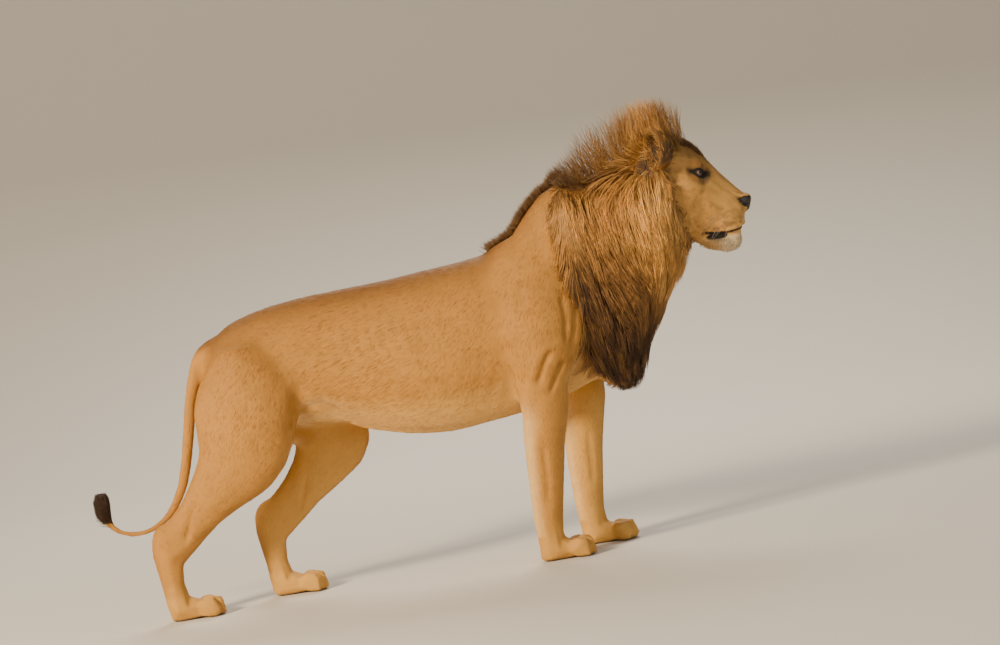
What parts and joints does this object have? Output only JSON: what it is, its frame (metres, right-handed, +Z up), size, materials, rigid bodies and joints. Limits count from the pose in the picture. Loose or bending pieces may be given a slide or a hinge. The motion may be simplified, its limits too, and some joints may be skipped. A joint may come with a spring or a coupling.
{
  "type": "lion",
  "caption": "Life-size standing male African lion in right profile, with an upright mane crest, ruff and bib, strides staggered, tail curled up behind.",
  "frame": {"origin": "on the floor under the middle of the bounding box", "axes": "+X towards the nose, +Y to the animal's left, +Z up; the soles rest on Z = 0"},
  "size_m": [2.371, 0.469, 1.5063],
  "materials": {
    "coat": "short tawny hair, stands for skin and fur",
    "face_coat": "very short hair over skin",
    "ear_coat": "short hair, dark behind, long pale hair inside",
    "paw_coat": "short pale hair",
    "mane_hair": "long coarse hair",
    "tail_tuft_hair": "black hair",
    "nose_leather": "bare, moist",
    "eye": "glossy glass eye, amber"
  },
  "bodies": {
    "root": {"belly": "coat", "chest": "coat", "ear_left": "ear_coat", "ear_right": "ear_coat", "eye_left": "eye", "eye_right": "eye", "fore_paw_left": "paw_coat", "fore_paw_right": "paw_coat", "forearm_left": "coat", "forearm_right": "coat", "head": "face_coat", "hind_paw_left": "paw_coat", "hind_paw_right": "paw_coat", "instep_left": "coat", "instep_right": "coat", "lower_jaw": "face_coat", "mane_bib": "mane_hair", "mane_crest": "mane_hair", "mane_ruff": "mane_hair", "neck": "coat", "nose": "nose_leather", "rump": "coat", "shank_left": "coat", "shank_right": "coat", "shoulder_left": "coat", "shoulder_right": "coat", "tail_base": "coat", "tail_curve": "coat", "tail_middle": "coat", "tail_tuft": "tail_tuft_hair", "thigh_left": "coat", "thigh_right": "coat"}
  },
  "joints": []
}
